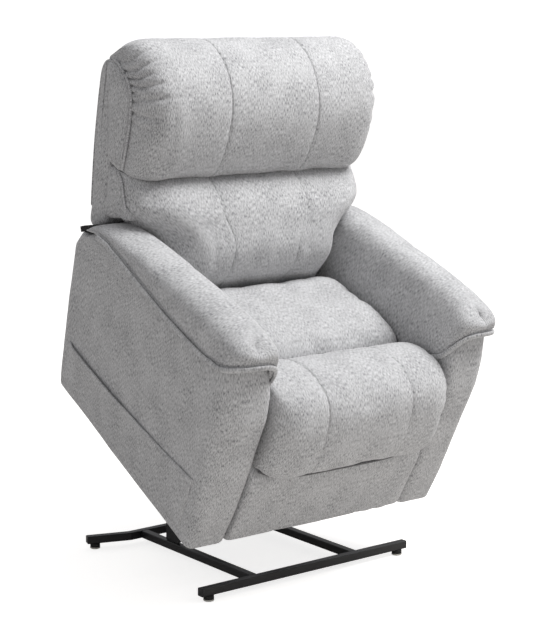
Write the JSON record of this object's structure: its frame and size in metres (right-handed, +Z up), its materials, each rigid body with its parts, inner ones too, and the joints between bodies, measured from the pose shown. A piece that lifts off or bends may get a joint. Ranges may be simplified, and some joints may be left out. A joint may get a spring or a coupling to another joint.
{
  "type": "lift recliner chair",
  "caption": "Upholstered power lift recliner chair with a steel floor base, tilting lift linkage, reclining back, swing-out footrest and side pocket.",
  "frame": {"origin": "on the floor under the middle of the object's box, with the chair raised", "axes": "+X to the sitter's left, +Y to the rear (the sitter faces -Y), +Z up"},
  "size_m": [0.8468, 0.8213, 1.38],
  "materials": {
    "upholstery": "light grey heathered tweed weave",
    "lining": "black non-woven lining",
    "black_steel": "black powder coat, satin",
    "zinc_steel": "zinc plated",
    "rubber": "matte",
    "black_plastic": "fine moulded texture",
    "plywood": "birch plywood, uncoated"
  },
  "bodies": {
    "floor_base": {"front_floor_bar": "black_steel", "rear_floor_bar": "black_steel", "left_floor_rail": "black_steel", "right_floor_rail": "black_steel", "left_front_foot": "rubber", "right_front_foot": "rubber", "left_rear_foot": "rubber", "right_rear_foot": "rubber", "left_lift_bracket": "black_steel", "right_lift_bracket": "black_steel", "left_control_pin": "zinc_steel", "right_control_pin": "zinc_steel", "lift_pivot_shaft": "zinc_steel", "motor_clevis": "black_steel", "motor_clevis_pin": "zinc_steel"},
    "lift_links": {"left_lift_link": "black_steel", "right_lift_link": "black_steel", "lift_torque_tube": "black_steel"},
    "control_links": {"left_control_link": "black_steel", "right_control_link": "black_steel"},
    "lift_actuator": {"lift_actuator_housing": "black_plastic"},
    "lift_rod": {"lift_actuator_rod": "zinc_steel"},
    "chair_frame": {"left_chassis_plate": "black_steel", "right_chassis_plate": "black_steel", "front_chassis_tube": "black_steel", "middle_chassis_tube": "black_steel", "upper_chassis_tube": "black_steel", "recline_shaft": "zinc_steel", "front_seat_rail": "plywood", "rear_seat_rail": "plywood", "seat_spring_1": "zinc_steel", "seat_spring_2": "zinc_steel", "seat_spring_3": "zinc_steel", "seat_cushion": "upholstery", "control_box": "black_plastic", "left_footrest_pin": "zinc_steel", "right_footrest_pin": "zinc_steel", "left_arm": "upholstery", "right_arm": "upholstery", "left_arm_pad": "upholstery", "right_arm_pad": "upholstery", "right_pocket_panel": "upholstery", "rear_skirt": "lining"},
    "backrest": {"left_back_post": "black_steel", "right_back_post": "black_steel", "back_lower_rail": "black_steel", "back_upper_rail": "black_steel", "back_panel": "upholstery", "left_back_wing": "upholstery", "right_back_wing": "upholstery", "headrest_cushion": "upholstery", "lumbar_cushion": "upholstery"},
    "recline_actuator": {"recline_actuator_housing": "black_plastic"},
    "recline_rod": {"recline_actuator_rod": "zinc_steel"},
    "footrest": {"footrest_board": "plywood", "left_footrest_hanger": "black_steel", "right_footrest_hanger": "black_steel", "footrest_bolster": "upholstery", "footrest_panel": "upholstery"}
  },
  "joints": [
    {"name": "lift", "type": "hinge", "parent": "floor_base", "child": "lift_links", "pos_m": [0, 0.1169, 0.11], "axis": [1, 0, 0], "range_deg": [0, 28]},
    {"name": "chair_tilt", "type": "hinge", "parent": "lift_links", "child": "chair_frame", "pos_m": [0, -0.14417, 0.23679], "axis": [-1, 0, 0], "range_deg": [0, 56.9]},
    {"name": "control_link_turn", "type": "hinge", "parent": "floor_base", "child": "control_links", "pos_m": [0, 0.2169, 0.214], "axis": [1, 0, 0], "range_deg": [0, 28.3]},
    {"name": "lift_actuator_turn", "type": "hinge", "parent": "floor_base", "child": "lift_actuator", "pos_m": [0, 0.3419, 0.062], "axis": [1, 0, 0], "range_deg": [0, 13]},
    {"name": "lift_rod_retract", "type": "slide", "parent": "lift_actuator", "child": "lift_rod", "axis": [0, 0.7422, -0.6702], "range_m": [0, 0.171]},
    {"name": "recline", "type": "hinge", "parent": "chair_frame", "child": "backrest", "pos_m": [0, 0.20296, 0.70638], "axis": [-1, 0, 0], "range_deg": [0, 40]},
    {"name": "recline_actuator_turn", "type": "hinge", "parent": "chair_frame", "child": "recline_actuator", "pos_m": [0, -0.09193, 0.45373], "axis": [1, 0, 0], "range_deg": [0, 9.7]},
    {"name": "recline_rod_retract", "type": "slide", "parent": "recline_actuator", "child": "recline_rod", "axis": [0, -0.9377, -0.3475], "range_m": [0, 0.077]},
    {"name": "footrest_out", "type": "hinge", "parent": "chair_frame", "child": "footrest", "pos_m": [0, -0.31321, 0.48307], "axis": [-1, 0, 0], "range_deg": [0, 80]}
  ],
  "couplings": [
    {"joint": "chair_tilt", "follows": "lift", "ratio": 2.025},
    {"joint": "control_link_turn", "follows": "lift", "ratio": 1.0025},
    {"joint": "lift_actuator_turn", "follows": "lift", "ratio": 0.45947},
    {"joint": "lift_rod_retract", "follows": "lift", "m_per_rad": 0.34915},
    {"joint": "recline_actuator_turn", "follows": "recline", "ratio": 0.23889},
    {"joint": "recline_rod_retract", "follows": "recline", "m_per_rad": 0.10988}
  ]
}
